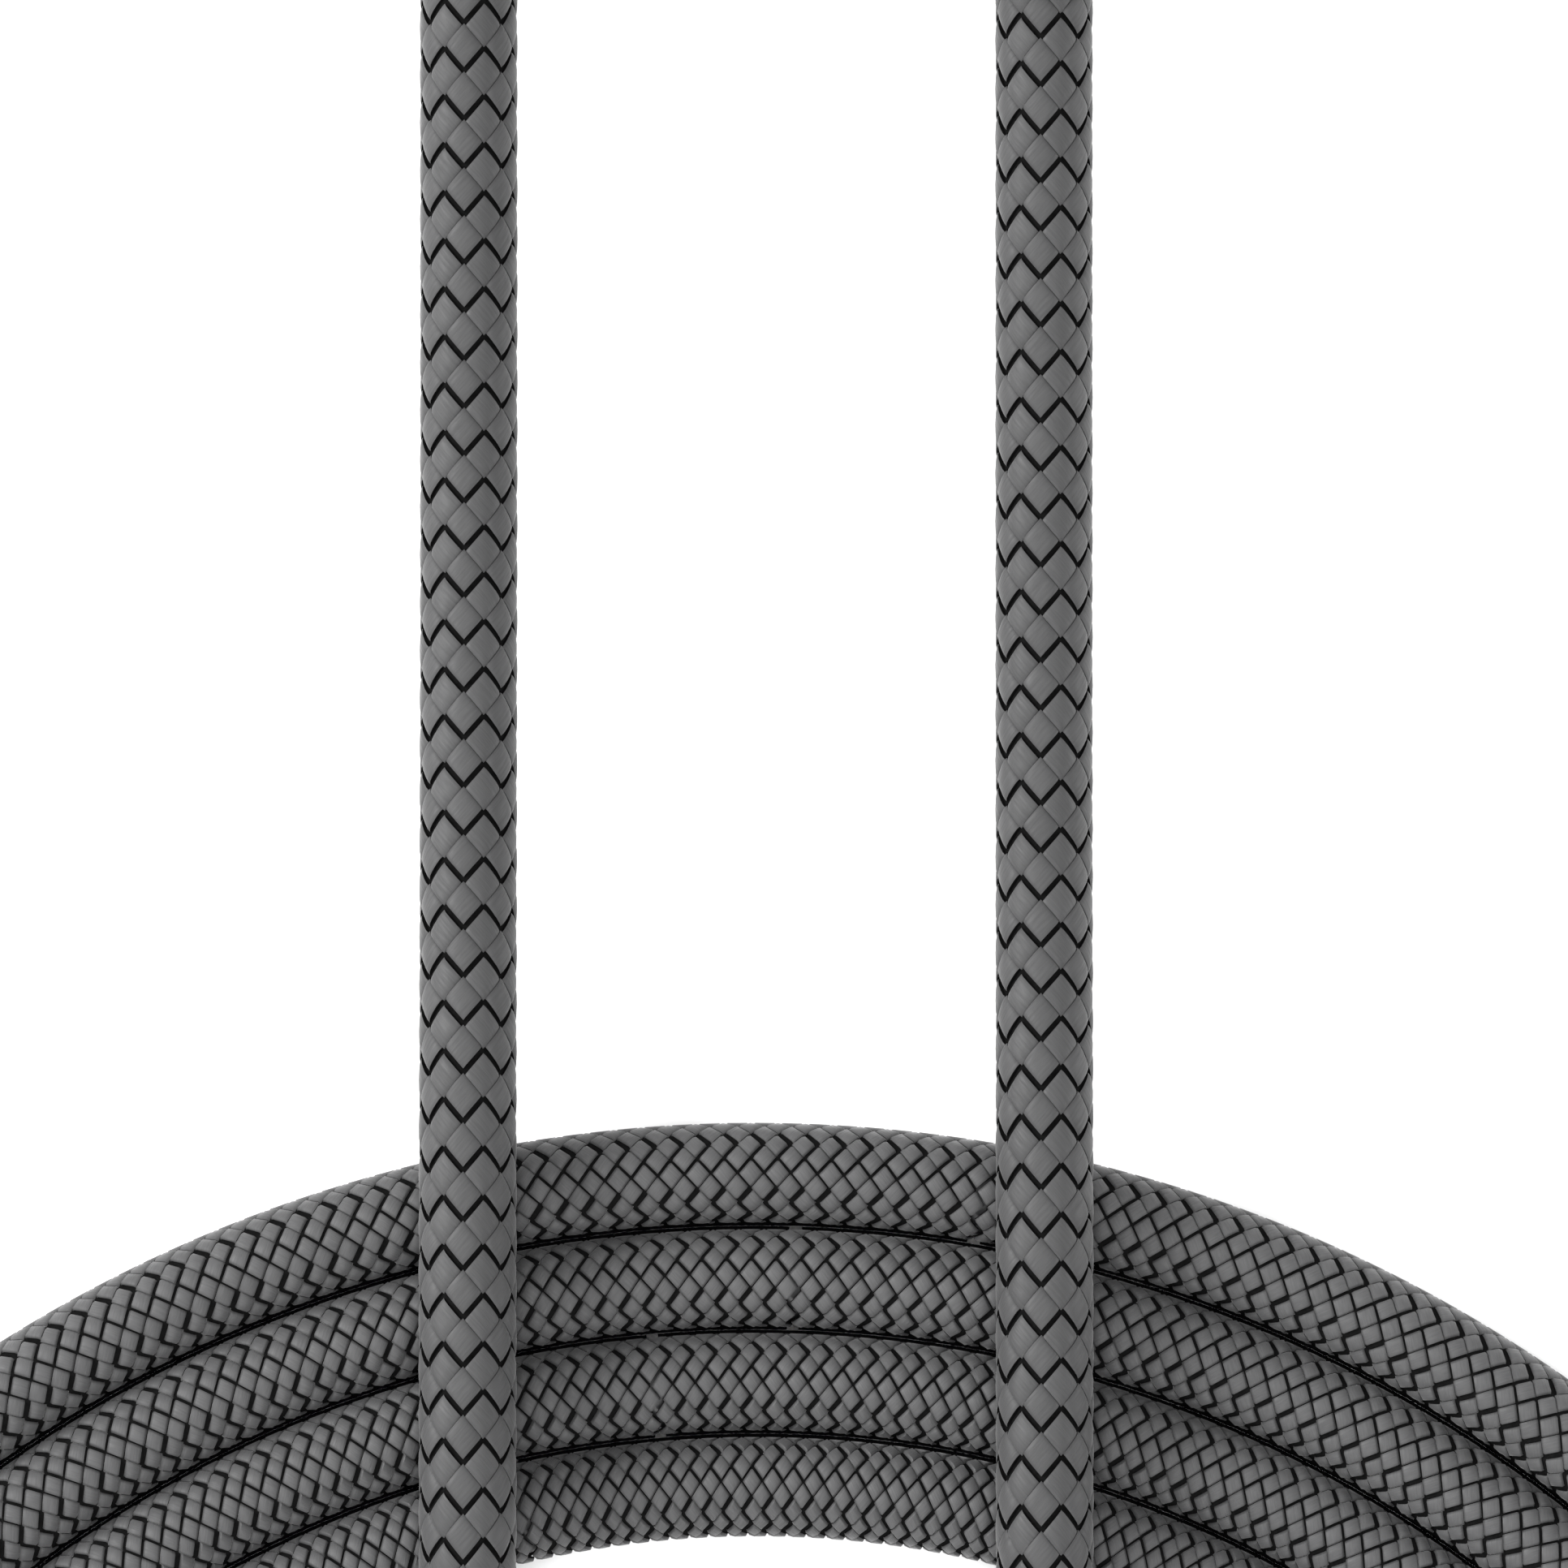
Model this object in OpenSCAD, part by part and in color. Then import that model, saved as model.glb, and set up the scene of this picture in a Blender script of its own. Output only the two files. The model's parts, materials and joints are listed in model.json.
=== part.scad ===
// Braided charging cable, coiled flat: a ring of turns, two straight leads that cross over it,
// and a plug with a wide flat shell and one with a small oval shell at their ends.
// Millimetres, +Z up. The origin is on the floor, under the middle of the two plugs.

/* [Cable] */
// Diameter over the braid
cable_d = 4.0; // [3.6:0.1:4.2]
// Distance between the two straight leads
lead_gap = 23.6; // [22:0.2:26]
// Diameter of the jacket under the braid, which alone goes on inside the plugs
jacket_d = 3.4; // [3.0:0.1:3.4]
// Length of the stretch behind each plug that bends when the plug is lifted
flex_len = 18; // [14:1:22]

/* [Coil] */
// Radius of the coil at the inside of its innermost turn
coil_inner_r = 41.2; // [40.4:0.1:42]
// Radius of the coil at the outside of its outermost turn
coil_outer_r = 58; // [57:0.1:59]
// Distance from the coil's centre to the wide plug's strain relief
relief_reach = 104.5; // [100:0.5:115]

/* [Wide plug] */
// Length from the strain relief to the tip
a_len = 50; // [48:1:54]
// Width of the housing
a_body_w = 16; // [15.8:0.1:18]
// Height of the housing
a_body_h = 8; // [7.8:0.1:9]
// Width of the metal shell
a_shell_w = 12; // [11.9:0.05:12.1]
// Height of the metal shell
a_shell_h = 4.5; // [4.4:0.05:4.6]
// Length of shell that stands out of the housing
a_shell_out = 12; // [11.75:0.05:12.2]

/* [Oval plug] */
// Width of the housing
c_body_w = 12; // [11.8:0.1:12.4]
// Height of the housing
c_body_h = 6; // [5.8:0.1:6.5]
// Length of the housing, with its bezel and collar
c_body_len = 22; // [20:1:26]
// Width of the metal shell
c_shell_w = 8.25; // [8.2:0.05:8.3]
// Height of the metal shell
c_shell_h = 2.4; // [2.36:0.02:2.44]
// Length of shell that stands out of the housing
c_shell_out = 6.65; // [6.5:0.05:6.8]

/* [Strain reliefs] */
// Length of each strain relief outside its housing
relief_len = 14; // [10:1:16]
// Diameter of the wide plug's strain relief where it meets the housing
a_relief_d = 7.2; // [6.6:0.1:7.4]
// Diameter of the oval plug's strain relief where it meets the housing
c_relief_d = 5.6; // [5.4:0.05:5.7]
// Number of grooves around each strain relief
relief_grooves = 5; // [3:1:6]

/* [Hidden] */
$fn = 64;

gap = 0.05;                 // clearance between pieces that are pushed together
wall = 0.3;                 // sheet of the wide shell
c_wall = 0.2;               // sheet of the oval shell
trim_len = 1.2;             // visible length of a bezel or a collar
spigot_len = 3;             // length of a bezel or a collar inside its sleeve
sleeve_wall = 0.6;          // wall of the metal sleeves
lip = 0.6;                  // strain relief's wall beside the cable at its rear end
wire_d = 0.8;               // one insulated conductor
metal = [0.30, 0.31, 0.33];
nickel = [0.75, 0.75, 0.76];
gold = [0.85, 0.66, 0.30];
black = [0.08, 0.08, 0.09];
braid = [0.44, 0.45, 0.46];

c_len = relief_len + c_body_len + c_shell_out;
a_body_len = a_len - relief_len - a_shell_out;
// The coil's centre, the two plugs' strain reliefs and the two cable axes, seen from the origin
coil_at = [-(a_body_w - c_body_w) / 4, -relief_reach - a_len / 2];
a_at = [coil_at.x + lead_gap / 2, -a_len / 2, a_body_h / 2];
c_at = [coil_at.x - lead_gap / 2, a_len / 2 - c_len, c_body_h / 2];

// Routes of the leads' centre lines from the plug to the coil, seen from the coil's centre
run = lead_gap / 2;
a_route = [
    [run, a_at.y - flex_len - coil_at.y, a_at.z], [run, 75, 4.2], [run, 66, 4.8],
    [run, 58, 5.8], [run, 49, 6.2], [run, 40, 6.1], [run, 31, 4.4], [run, 23, 2.4],
    [run, 14, 2], [run, 2, 2], [run, -10, 2], [run, -20, 3.2], [run, -28, 5.4],
    [run, -35, 6.2], [10.6, -42, 6.2], [7, -48, 6.2], [1.8, -52.4, 6.2], [-4.7, -54.7, 6.1],
    [-12.8, -54.5, 6.1], [-24.5, -50.3, 6.1], [-36, -42.9, 5.9], [-45.3, -32.9, 5.1],
    [-51.9, -21, 4], [-55.5, -7.8, 2.9], [-55.7, 5.9, 2.1]
];
c_route = [
    [-run, c_at.y - flex_len - coil_at.y, c_at.z], [-run, 82, 3.2], [-run, 70, 4.3],
    [-run, 58, 5.8], [-run, 49, 6.2], [-run, 40, 6.1], [-run, 31, 4.4], [-run, 23, 2.4],
    [-run, 14, 2], [-run, 0, 2], [-run, -12, 2], [-run, -21.5, 2], [-9.9, -30, 2],
    [-3.3, -37.9, 2], [5.4, -41.3, 2], [15.5, -40.3, 2], [26.6, -34, 2], [35.4, -24.8, 2]
];

function unit(v) = v / norm(v);
function knot(route, i) = route[max(0, min(len(route) - 1, i))];
// Point of a smooth curve through the route, t knots from its start
function along(route, t) =
    let (i = min(floor(t), len(route) - 2), u = t - i,
         p0 = knot(route, i - 1), p1 = knot(route, i), p2 = knot(route, i + 1),
         p3 = knot(route, i + 2))
    0.5 * (2 * p1 + (p2 - p0) * u + (2 * p0 - 5 * p1 + 4 * p2 - p3) * u * u
           + (3 * p1 - 3 * p2 + p3 - p0) * u * u * u);
function heading(route, t) =
    unit(along(route, min(t + 0.05, len(route) - 1)) - along(route, max(t - 0.05, 0)));
// Round section across the route at t
function ring(route, t, d, sides) =
    let (at = along(route, t), side = unit(cross(heading(route, t), [0, 0, 1])),
         up = cross(side, heading(route, t)))
    [for (k = [0:sides - 1]) at + d / 2 * (cos(360 * k / sides) * side + sin(360 * k / sides) * up)];

// A round tube swept along a route, one ring at every knot and `between` more in each span
module swept(route, d, between = 1, sides = 12) {
    step = 1 / (between + 1);
    rings = [for (t = [0:step:len(route) - 1]) ring(route, t, d, sides)];
    count = len(rings);
    polyhedron(
        points = [for (r = rings) for (p = r) p],
        faces = concat(
            [[for (k = [0:sides - 1]) k]],
            [[for (k = [sides - 1:-1:0]) (count - 1) * sides + k]],
            [for (i = [0:count - 2]) for (k = [0:sides - 1])
                let (n = (k + 1) % sides)
                [i * sides + k, (i + 1) * sides + k, (i + 1) * sides + n, i * sides + n]]),
        convexity = 6);
}

// Rectangle with round corners, centred
module rounded(w, h, r) {
    square([w - 2 * r, h], center = true);
    square([w, h - 2 * r], center = true);
    for (x = [-1, 1], y = [-1, 1]) translate([x * (w / 2 - r), y * (h / 2 - r)]) circle(r);
}

// Outline that is extruded from y0 to y1 along the plug
module span(y0, y1) {
    translate([0, y0, 0]) rotate([-90, 0, 0]) linear_extrude(y1 - y0) children();
}

// Profile that is turned about the plug's axis; its height runs along the plug
module turned() {
    rotate([-90, 0, 0]) rotate_extrude() children();
}

// Box from one corner to the other
module block(low, high) {
    translate(low) cube(high - low);
}

module in_a() { translate(a_at) children(); }
module in_c() { translate(c_at) children(); }

// ---- Cable

module cable_coil() {
    color(braid) translate([coil_at.x, coil_at.y, cable_d / 2]) rotate_extrude($fn = 180)
        translate([(coil_inner_r + coil_outer_r) / 2, 0])
            rounded(coil_outer_r - coil_inner_r, cable_d, cable_d / 2 - 0.1);
}

module cable_lead_a() { color(braid) translate(coil_at) swept(a_route, cable_d); }
module cable_lead_c() { color(braid) translate(coil_at) swept(c_route, cable_d); }

module flex() {
    turned() translate([0, -flex_len]) square([cable_d / 2, flex_len - gap]);
}
module flex_a() { color(braid) in_a() flex(); }
module flex_c() { color(braid) in_c() flex(); }

// ---- Pieces that both plugs have

// Metal sleeve of the housing, open at both ends
module sleeve(w, h, r, y0, y1) {
    color(metal) span(y0, y1) difference() {
        rounded(w, h, r);
        rounded(w - 2 * sleeve_wall, h - 2 * sleeve_wall, r - sleeve_wall);
    }
}

// Ring that closes one end of a sleeve: a lip outside it and a spigot inside it
module end_ring(w, h, r, lip_y, spigot_y) {
    inset = sleeve_wall + gap;
    color(black) difference() {
        union() {
            span(lip_y[0], lip_y[1]) rounded(w - 0.4, h - 0.4, r - 0.2);
            span(spigot_y[0], spigot_y[1]) rounded(w - 2 * inset, h - 2 * inset, r - inset);
        }
        span(min(lip_y[0], spigot_y[0]) - 1, max(lip_y[1], spigot_y[1]) + 1) children();
    }
}

// Tapered, grooved strain relief, with a neck inside its collar and a head behind the collar
module relief(base_d, neck_d, head_d) {
    head_y = relief_len + trim_len + spigot_len + gap;
    rib = relief_len / (2 * relief_grooves + 2);
    rear_r = cable_d / 2 + lip;
    groove = 0.35;
    flank = 0.12;
    function outer(y) = rear_r + (base_d / 2 - rear_r) * y / relief_len;
    color(black) difference() {
        turned() polygon(concat(
            [[0, 0], [rear_r - 0.3, 0], [rear_r, 0.3]],
            [for (i = [1:relief_grooves], s = [0:3])
                let (deep = s == 1 || s == 2, y = (2 * i - (s < 2 ? 1 : 0)) * rib)
                [outer(y) - (deep ? groove : 0), y + (s == 1 ? flank : s == 2 ? -flank : 0)]],
            [[base_d / 2, relief_len - rib], [base_d / 2, relief_len],
             [neck_d / 2, relief_len], [neck_d / 2, head_y], [head_d / 2, head_y],
             [head_d / 2, head_y + 1.2], [0, head_y + 1.2]]));
        turned() translate([0, -1]) square([jacket_d / 2 + gap, head_y + 4]);
    }
}

// Copper ferrule crimped round the end of the jacket
module ferrule() {
    y0 = relief_len + trim_len + spigot_len + 1.5;
    color([0.72, 0.45, 0.30]) turned() translate([jacket_d / 2 + gap, y0]) square([0.35, 2.8]);
}

// End of the jacket inside the plug
module jacket_end() {
    color(black) turned() square([jacket_d / 2, relief_len + trim_len + spigot_len + 4]);
}

// One conductor from the end of the jacket to its joint
module wire(from, to, shade) {
    bend = (to.y - from.y) / 3;
    color(shade) swept([from, from + [0, bend, 0], to - [0, bend, 0], to], wire_d, 3, 10);
}

// Sheet-metal can with a rear wall, open towards the tip
module shield_can(w, h, r, y0, y1, sheet) {
    color(nickel) difference() {
        span(y0, y1) rounded(w, h, r);
        span(y0 + sheet, y1 + 1) rounded(w - 2 * sheet, h - 2 * sheet, r - sheet);
        turned() translate([0, y0 - 1]) square([1.7, 2]);
    }
}

// ---- Wide plug, seen from the rear end of its strain relief

a_front = relief_len + a_body_len;      // front face of the bezel
a_corner = 2.2;                         // corner radius of the housing
a_neck_d = 5.6;                         // strain relief inside the collar
a_inside = [a_shell_w - 2 * wall, a_shell_h - 2 * wall];
tongue_z = -0.13;                       // top of the tongue, just under the shell's middle
pin_x = [-3.5, -1, 1, 3.5];
pin_w = 1;
pin_t = 0.25;
power_back = 1.2;                       // how far the outer pins stop behind the tongue's tip
data_back = 2.2;                        // and the inner pins
block_y = a_len - 22.6;                 // rear face of the contact block
tongue_tip = a_len - 0.4;

module a_shell() {
    window = [2.5, 2];
    color(nickel) in_a() difference() {
        span(a_len - 24, a_len) difference() {
            rounded(a_shell_w, a_shell_h, 0.6);
            rounded(a_inside.x, a_inside.y, 0.3);
        }
        // Two latching windows in the top and two in the bottom
        for (x = [-1, 1]) translate([x * 2.9, a_len - 6.2, 0])
            cube([window.x, window.y, a_shell_h + 2], center = true);
        // Seam where the sheet's edges meet, underneath
        block([-0.06, a_len - 25, -a_shell_h], [0.06, a_len + 1, -a_shell_h / 4]);
    }
}

module a_contact_block() {
    half = a_inside.x / 2 - gap;
    floor_z = -a_inside.y / 2 + gap;
    color([0.90, 0.90, 0.88]) in_a() difference() {
        union() {
            block([-half, block_y, floor_z], [half, block_y + 4, -floor_z]);
            block([-half, block_y, floor_z], [half, tongue_tip, tongue_z]);
        }
        for (i = [0:3])
            let (back = i == 0 || i == 3 ? power_back : data_back, reach = pin_w / 2 + gap)
            block([pin_x[i] - reach, block_y - 1, tongue_z - pin_t],
                  [pin_x[i] + reach, tongue_tip - back + gap, tongue_z + 2 * gap]);
    }
}

module a_pin(i, back) {
    color(gold) in_a() block([pin_x[i] - pin_w / 2, block_y - 1.9, tongue_z - pin_t + gap / 2],
                             [pin_x[i] + pin_w / 2, tongue_tip - back, tongue_z + gap / 2]);
}
module a_pin_power() { a_pin(0, power_back); }
module a_pin_data_minus() { a_pin(1, data_back); }
module a_pin_data_plus() { a_pin(2, data_back); }
module a_pin_ground() { a_pin(3, power_back); }

module a_shield_can() {
    in_a() shield_can(13.6, 6, 1, block_y - 4.6, block_y + 4.6, 0.25);
}

// Frame that holds the conductors apart behind the pins
module a_inner_frame() {
    color([0.85, 0.85, 0.80]) in_a() span(block_y - 4.2, block_y - 2) difference() {
        rounded(13, 5.4, 0.7);
        rounded(10.4, 3.2, 0.4);
    }
}

module a_sleeve() {
    in_a() sleeve(a_body_w, a_body_h, a_corner, relief_len + trim_len, a_front - trim_len);
}

module a_bezel() {
    in_a() end_ring(a_body_w, a_body_h, a_corner, [a_front - trim_len, a_front],
                    [a_front - trim_len - spigot_len, a_front])
        rounded(a_shell_w + 2 * gap, a_shell_h + 2 * gap, 0.6);
}

module a_collar() {
    in_a() end_ring(a_body_w, a_body_h, a_corner, [relief_len, relief_len + trim_len],
                    [relief_len, relief_len + trim_len + spigot_len])
        circle(a_neck_d / 2 + gap);
}

module a_relief() { in_a() relief(a_relief_d, a_neck_d, a_neck_d + 0.8); }
module a_ferrule() { in_a() ferrule(); }
module a_jacket_end() { in_a() jacket_end(); }

module a_wire(i, shade) {
    side = i < 2 ? -0.7 : 0.7;
    rise = i == 0 || i == 3 ? 0.7 : -0.7;
    from_y = relief_len + trim_len + spigot_len + 4;
    in_a() wire([side, from_y, rise], [pin_x[i], block_y - 0.8, tongue_z + gap / 2 + wire_d / 2],
                shade);
}
module a_wire_red() { a_wire(0, "firebrick"); }
module a_wire_white() { a_wire(1, "white"); }
module a_wire_green() { a_wire(2, "seagreen"); }
module a_wire_black() { a_wire(3, black); }

// ---- Oval plug, seen from the rear end of its strain relief

c_front = relief_len + c_body_len;      // front face of the bezel
c_corner = 2.6;                         // corner radius of the housing
c_neck_d = 4.3;                         // strain relief inside the collar
c_rear = c_len - 12.2;                  // rear end of the shell
insulator_y = c_rear + 0.5;
cavity = [6.9, 1.5];                    // mouth between the two contact rows
cavity_y = c_len - 6.2;                 // bottom of the mouth
contact_z = 0.525;                      // middle of a contact's thickness
latch_x = 3.53;                         // middle of a latch's arm
latch_y = c_len - 6;                    // where a latch's arm bends

module c_shell() {
    color(nickel) in_c() span(c_rear, c_len) difference() {
        rounded(c_shell_w, c_shell_h, c_shell_h / 2 - 0.01);
        rounded(c_shell_w - 2 * c_wall, c_shell_h - 2 * c_wall, c_shell_h / 2 - c_wall - 0.01);
    }
}

module c_insulator() {
    slip = c_wall + gap / 2;
    color(black) in_c() difference() {
        span(insulator_y, c_len - 0.15)
            rounded(c_shell_w - 2 * slip, c_shell_h - 2 * slip, c_shell_h / 2 - slip - 0.01);
        span(cavity_y, c_len) square(cavity, center = true);
        for (z = [-1, 1]) {
            // Slot for the carrier of one contact row
            translate([0, (insulator_y + cavity_y) / 2, z * contact_z])
                cube([6.2, cavity_y - insulator_y + 1, 0.5], center = true);
            // Seat of one ground spring
            translate([0, c_len - 2.35, z * 0.9]) cube([6, 3.8, 0.34], center = true);
        }
        // Pockets of the two side latches
        for (x = [-1, 1]) translate([x * latch_x, c_len - 3.45, 0])
            cube([1.3, 5.9, 0.7], center = true);
    }
}

module c_contacts(z) {
    color(gold) in_c() {
        translate([0, insulator_y + 2, z]) cube([6.1, 2.4, 0.36], center = true);
        for (i = [0:11]) translate([(i - 5.5) * 0.5, (c_rear - 1.6 + c_len - 1.4) / 2, z])
            cube([0.25, c_len - c_rear + 0.2, 0.15], center = true);
    }
}
module c_contacts_top() { c_contacts(contact_z); }
module c_contacts_bottom() { c_contacts(-contact_z); }

// Ground spring: a plate with three fingers that press on the socket's shell
module c_spring(side) {
    color(nickel) in_c() translate([0, c_len - 2.35, 0]) {
        translate([0, 0, side * 0.91]) cube([5.9, 3.7, 0.1], center = true);
        for (x = [-2, 0, 2]) translate([x, 0.4, side * 0.81]) cube([0.7, 1.2, 0.12], center = true);
    }
}
module c_spring_top() { c_spring(1); }
module c_spring_bottom() { c_spring(-1); }

// Side latch: a thin arm with a nose that snaps into the socket
module c_latch(side) {
    color(nickel) in_c() scale([side, 1, 1]) {
        block([latch_x - 0.085, latch_y - 0.25, -0.25], [latch_x + 0.085, latch_y + 5, 0.25]);
        translate([0, 0, -0.25]) linear_extrude(0.5) polygon([
            [latch_x, latch_y + 3.6], [latch_x - 0.33, latch_y + 4.2],
            [latch_x - 0.33, latch_y + 4.4], [latch_x, latch_y + 5]]);
    }
}
module c_latch_left() { c_latch(-1); }
module c_latch_right() { c_latch(1); }

module c_board() {
    color("darkgreen") in_c() block([-4.2, c_rear - 7.6, -0.4], [4.2, c_rear - 0.2, 0.4]);
}

module c_resistor() {
    color(black) in_c() translate([2.8, c_rear - 4.5, 0.4 + gap + 0.175])
        cube([0.5, 1, 0.35], center = true);
}

module c_shield_can() {
    in_c() shield_can(9.6, 4.2, 1, c_rear - 7.9, c_rear + 2.4, 0.2);
}

module c_sleeve() {
    in_c() sleeve(c_body_w, c_body_h, c_corner, relief_len + trim_len, c_front - trim_len);
}

module c_bezel() {
    in_c() end_ring(c_body_w, c_body_h, c_corner, [c_front - trim_len, c_front],
                    [c_front - trim_len - 0.8, c_front])
        rounded(c_shell_w + 2 * gap, c_shell_h + 2 * gap, c_shell_h / 2);
}

module c_collar() {
    in_c() end_ring(c_body_w, c_body_h, c_corner, [relief_len, relief_len + trim_len],
                    [relief_len, relief_len + trim_len + spigot_len])
        circle(c_neck_d / 2 + gap);
}

module c_relief() { in_c() relief(c_relief_d, c_neck_d, c_neck_d + 0.4); }
module c_ferrule() { in_c() ferrule(); }
module c_jacket_end() { in_c() jacket_end(); }

module c_wire(side, up, shade) {
    from_y = relief_len + trim_len + spigot_len + 4;
    over_board = up * (0.4 + gap + wire_d / 2);
    in_c() wire([side * 0.7, from_y, over_board], [side * 1.6, c_rear - 5.6, over_board], shade);
}
module c_wire_red() { c_wire(-1, 1, "firebrick"); }
module c_wire_white() { c_wire(1, 1, "white"); }
module c_wire_green() { c_wire(-1, -1, "seagreen"); }
module c_wire_black() { c_wire(1, -1, black); }

cable_coil();
cable_lead_a();
cable_lead_c();
flex_a();
flex_c();
a_shell();
a_contact_block();
a_pin_power();
a_pin_data_minus();
a_pin_data_plus();
a_pin_ground();
a_shield_can();
a_inner_frame();
a_sleeve();
a_bezel();
a_collar();
a_relief();
a_ferrule();
a_jacket_end();
a_wire_red();
a_wire_white();
a_wire_green();
a_wire_black();
c_shell();
c_insulator();
c_contacts_top();
c_contacts_bottom();
c_spring_top();
c_spring_bottom();
c_latch_left();
c_latch_right();
c_board();
c_resistor();
c_shield_can();
c_sleeve();
c_bezel();
c_collar();
c_relief();
c_ferrule();
c_jacket_end();
c_wire_red();
c_wire_white();
c_wire_green();
c_wire_black();
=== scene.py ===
# %% [markdown]
# # A braided charging cable
# The object is one long braided cable, wound into a flat ring of four turns, with a plug on each
# of its two loose ends. This lesson builds its looks on top of a measured model: the frame gives
# the sizes and places of every piece, and Blender adds the yarns of the braid, the finishes and
# the light. Lengths are in millimetres in the cells below and turn into metres where a mesh is made.

# %% Load the measured model
import bmesh
import bpy
import json
import math
import mathutils
import numpy as np
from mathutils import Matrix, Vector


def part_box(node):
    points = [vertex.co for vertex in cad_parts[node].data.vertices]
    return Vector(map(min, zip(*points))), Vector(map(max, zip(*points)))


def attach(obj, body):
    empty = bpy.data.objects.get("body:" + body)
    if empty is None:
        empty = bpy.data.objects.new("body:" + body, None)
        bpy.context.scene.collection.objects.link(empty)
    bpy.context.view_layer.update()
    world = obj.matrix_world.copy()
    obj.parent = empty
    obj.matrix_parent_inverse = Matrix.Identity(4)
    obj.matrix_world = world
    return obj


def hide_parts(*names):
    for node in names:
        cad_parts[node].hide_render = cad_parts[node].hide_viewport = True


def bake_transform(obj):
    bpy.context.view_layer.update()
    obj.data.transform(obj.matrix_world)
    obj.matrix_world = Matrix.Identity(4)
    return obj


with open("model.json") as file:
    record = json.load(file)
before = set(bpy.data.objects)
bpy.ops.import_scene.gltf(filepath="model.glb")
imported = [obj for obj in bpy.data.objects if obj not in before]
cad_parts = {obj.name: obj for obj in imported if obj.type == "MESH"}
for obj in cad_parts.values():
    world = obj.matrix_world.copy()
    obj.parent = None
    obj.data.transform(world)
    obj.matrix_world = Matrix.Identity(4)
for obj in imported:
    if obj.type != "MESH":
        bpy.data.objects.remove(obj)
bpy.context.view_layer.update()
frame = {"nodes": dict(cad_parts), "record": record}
mm = 0.001
print("pieces in the frame:", len(frame["nodes"]))

# %% [markdown]
# ## Places
# Nothing is placed by eye. The ring, the two leads and the two strain reliefs each have a box in
# the frame, so the middle of the ring, the thickness of the cable and the ends of the leads are
# read from those boxes. The ring's turns lie a hair further apart than one cable diameter.

# %% Read the places from the frame
def box(node):
    low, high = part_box(node)
    return np.array(low) / mm, np.array(high) / mm


ring_low, ring_high = box("cable_coil")
ring_at = (ring_low + ring_high) / 2
cable_d = ring_high[2] - ring_low[2]
outer_r = (ring_high[0] - ring_low[0] - cable_d) / 2
turns = 4
turn_gap = 4.2667  # from the middle of one turn to the middle of the next
inner_r = outer_r - (turns - 1) * turn_gap


def lead_end(node, relief):
    """Middle of the cable where it meets its strain relief, seen from the ring's centre."""
    low, high = box(node)
    across = (low + high) / 2 - ring_at
    return np.array([across[0], box(relief)[0][1] - ring_at[1], (low[2] + high[2]) / 2])


a_end = lead_end("flex_a", "a_relief")
c_end = lead_end("flex_c", "c_relief")
run = a_end[0]
flex_len = a_end[1] - (box("flex_a")[0][1] - ring_at[1])
print("cable", round(cable_d, 2), "ring radii", round(inner_r, 2), round(outer_r, 2))
print("leads at x", round(-run, 2), round(run, 2), "stretch that bends", round(flex_len, 2))

# %% [markdown]
# ## Camera
# The cable is seen straight from above, and its two straight leads stay parallel, so the camera
# stands far back with a very long lens: an ordinary lens would make the raised leads look thicker
# than the ring under them. The camera looks down on the part of the ring that the leads cross.

# %% Set up the camera
scene = bpy.context.scene
view_width = 64.4
view_middle = np.array([1.14, 72.0])
camera_data = bpy.data.cameras.new("camera")
camera_data.lens = 500
camera_data.sensor_width = 36
camera_data.clip_start = 0.01
camera_data.clip_end = 10
camera = bpy.data.objects.new("camera", camera_data)
scene.collection.objects.link(camera)
distance = view_width * camera_data.lens / camera_data.sensor_width + cable_d / 2
camera.location = (*((ring_at[:2] + view_middle) * mm), distance * mm)
scene.camera = camera
print("camera height", round(distance), "mm")

# %% [markdown]
# ## The cable's route
# A cable has a fixed length and a smooth line, so its route is settled before its looks. The two
# leads follow listed points: straight out of the strain relief, over the ring in a low
# hump, down to the floor, and round a bend into the ring. The turns of the ring are worked out
# from a formula: each turn is a circle, and the step out to the next turn is spread over part of
# the ring that the leads don't cross.

# %% Route points of the leads and the turns
lead_a = [
    a_end, (run, a_end[1] - flex_len, a_end[2]), (run, 75, 4.2), (run, 66, 4.8),
    (run, 58, 5.8), (run, 49, 6.2), (run, 40, 6.1), (run, 31, 4.4), (run, 23, 2.4),
    (run, 14, 2), (run, 2, 2), (run, -10, 2), (run, -20, 3.2), (run, -28, 5.4),
    (run, -35, 6.2), (10.6, -42, 6.2), (7, -48, 6.2), (1.8, -52.4, 6.2), (-4.7, -54.7, 6.1),
    (-12.8, -54.5, 6.1), (-24.5, -50.3, 6.1), (-36, -42.9, 5.9), (-45.3, -32.9, 5.1),
    (-51.9, -21, 4), (-55.5, -7.8, 2.9), (-55.7, 5.9, 2.1),
]
lead_c = [
    c_end, (-run, c_end[1] - flex_len, c_end[2]), (-run, 82, 3.2), (-run, 70, 4.3),
    (-run, 58, 5.8), (-run, 49, 6.2), (-run, 40, 6.1), (-run, 31, 4.4), (-run, 23, 2.4),
    (-run, 14, 2), (-run, 0, 2), (-run, -12, 2), (-run, -21.5, 2), (-9.9, -30, 2),
    (-3.3, -37.9, 2), (5.4, -41.3, 2), (15.5, -40.3, 2), (26.6, -34, 2), (35.4, -24.8, 2),
]


def ease(x):
    x = np.clip(x, 0, 1)
    return x * x * (3 - 2 * x)


step_from, step_over = 540, 105  # degrees: where the first step out starts, and its spread
joins_a, joins_c = 1602, 336  # degrees: where the winding meets each lead


def turn_radius(angle):
    """Radius of the winding at an angle that grows from the innermost turn outwards."""
    steps = sum(ease((angle - step_from - 360 * k) / step_over) for k in range(turns - 1))
    return inner_r + turn_gap * steps


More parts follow.
